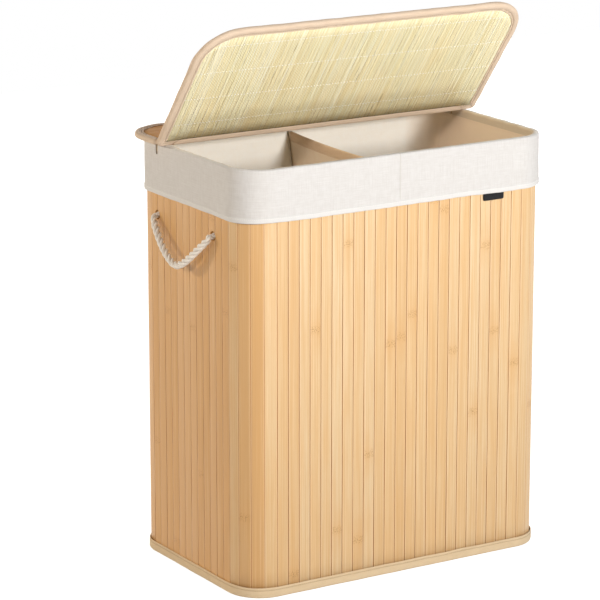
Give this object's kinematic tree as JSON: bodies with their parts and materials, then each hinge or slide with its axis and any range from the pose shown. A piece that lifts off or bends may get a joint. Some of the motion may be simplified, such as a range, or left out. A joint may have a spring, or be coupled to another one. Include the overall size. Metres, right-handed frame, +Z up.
{
  "type": "laundry hamper",
  "caption": "Rectangular laundry hamper of upright bamboo slats with a cloth liner parted into bins by a divider, a hinged slatted lid and a hanging rope handle at each end.",
  "frame": {"origin": "middle of the underside, where the base cloth lies on the floor, midway between the outer slat faces", "axes": "+Z up, +X along the width to the right of someone facing the front, +Y from the front to the hinge side at the back"},
  "size_m": [0.5654, 0.3336, 0.8084],
  "materials": {
    "bamboo": "satin",
    "split_bamboo": "matte",
    "linen": "matte",
    "beige_tape": "matte",
    "rope": "matte",
    "board": "matte"
  },
  "bodies": {
    "basket": {"slats_front": "bamboo", "slats_right": "bamboo", "slats_back": "bamboo", "slats_left": "bamboo", "slats_corner_front_right": "bamboo", "slats_corner_back_right": "bamboo", "slats_corner_back_left": "bamboo", "slats_corner_front_left": "bamboo", "top_tape": "beige_tape", "bottom_tape": "beige_tape", "base_cloth": "beige_tape", "base_board": "board", "base_hinge_strip": "beige_tape", "liner_cuff": "linen", "liner_left_front": "linen", "liner_left_end": "linen", "liner_left_back": "linen", "liner_left_floor": "linen", "liner_right_front": "linen", "liner_right_end": "linen", "liner_right_back": "linen", "liner_right_floor": "linen", "liner_divider": "linen", "divider_tape": "beige_tape", "lid_strip_binding": "beige_tape", "lid_strip_mat": "split_bamboo", "lid_strip_slats": "bamboo", "hinge_leaf_fixed": "beige_tape", "left_front_knot": "rope", "left_back_knot": "rope", "right_front_knot": "rope", "right_back_knot": "rope"},
    "lid": {"lid_flap_binding": "beige_tape", "lid_flap_mat": "split_bamboo", "lid_flap_slats": "bamboo", "hinge_leaf_moving": "beige_tape"},
    "left_handle": {"left_handle_rope": "rope"},
    "right_handle": {"right_handle_rope": "rope"}
  },
  "joints": [
    {"name": "lid_hinge", "type": "hinge", "parent": "basket", "child": "lid", "pos_m": [0, 0.061, 0.6278], "axis": [-1, 0, 0], "range_deg": [-52, 50]},
    {"name": "left_handle_swing", "type": "hinge", "parent": "basket", "child": "left_handle", "pos_m": [-0.2638, 0.012, 0.516], "axis": [0, 1, 0], "range_deg": [0, 150]},
    {"name": "right_handle_swing", "type": "hinge", "parent": "basket", "child": "right_handle", "pos_m": [0.2638, 0.012, 0.516], "axis": [0, -1, 0], "range_deg": [0, 150]}
  ]
}
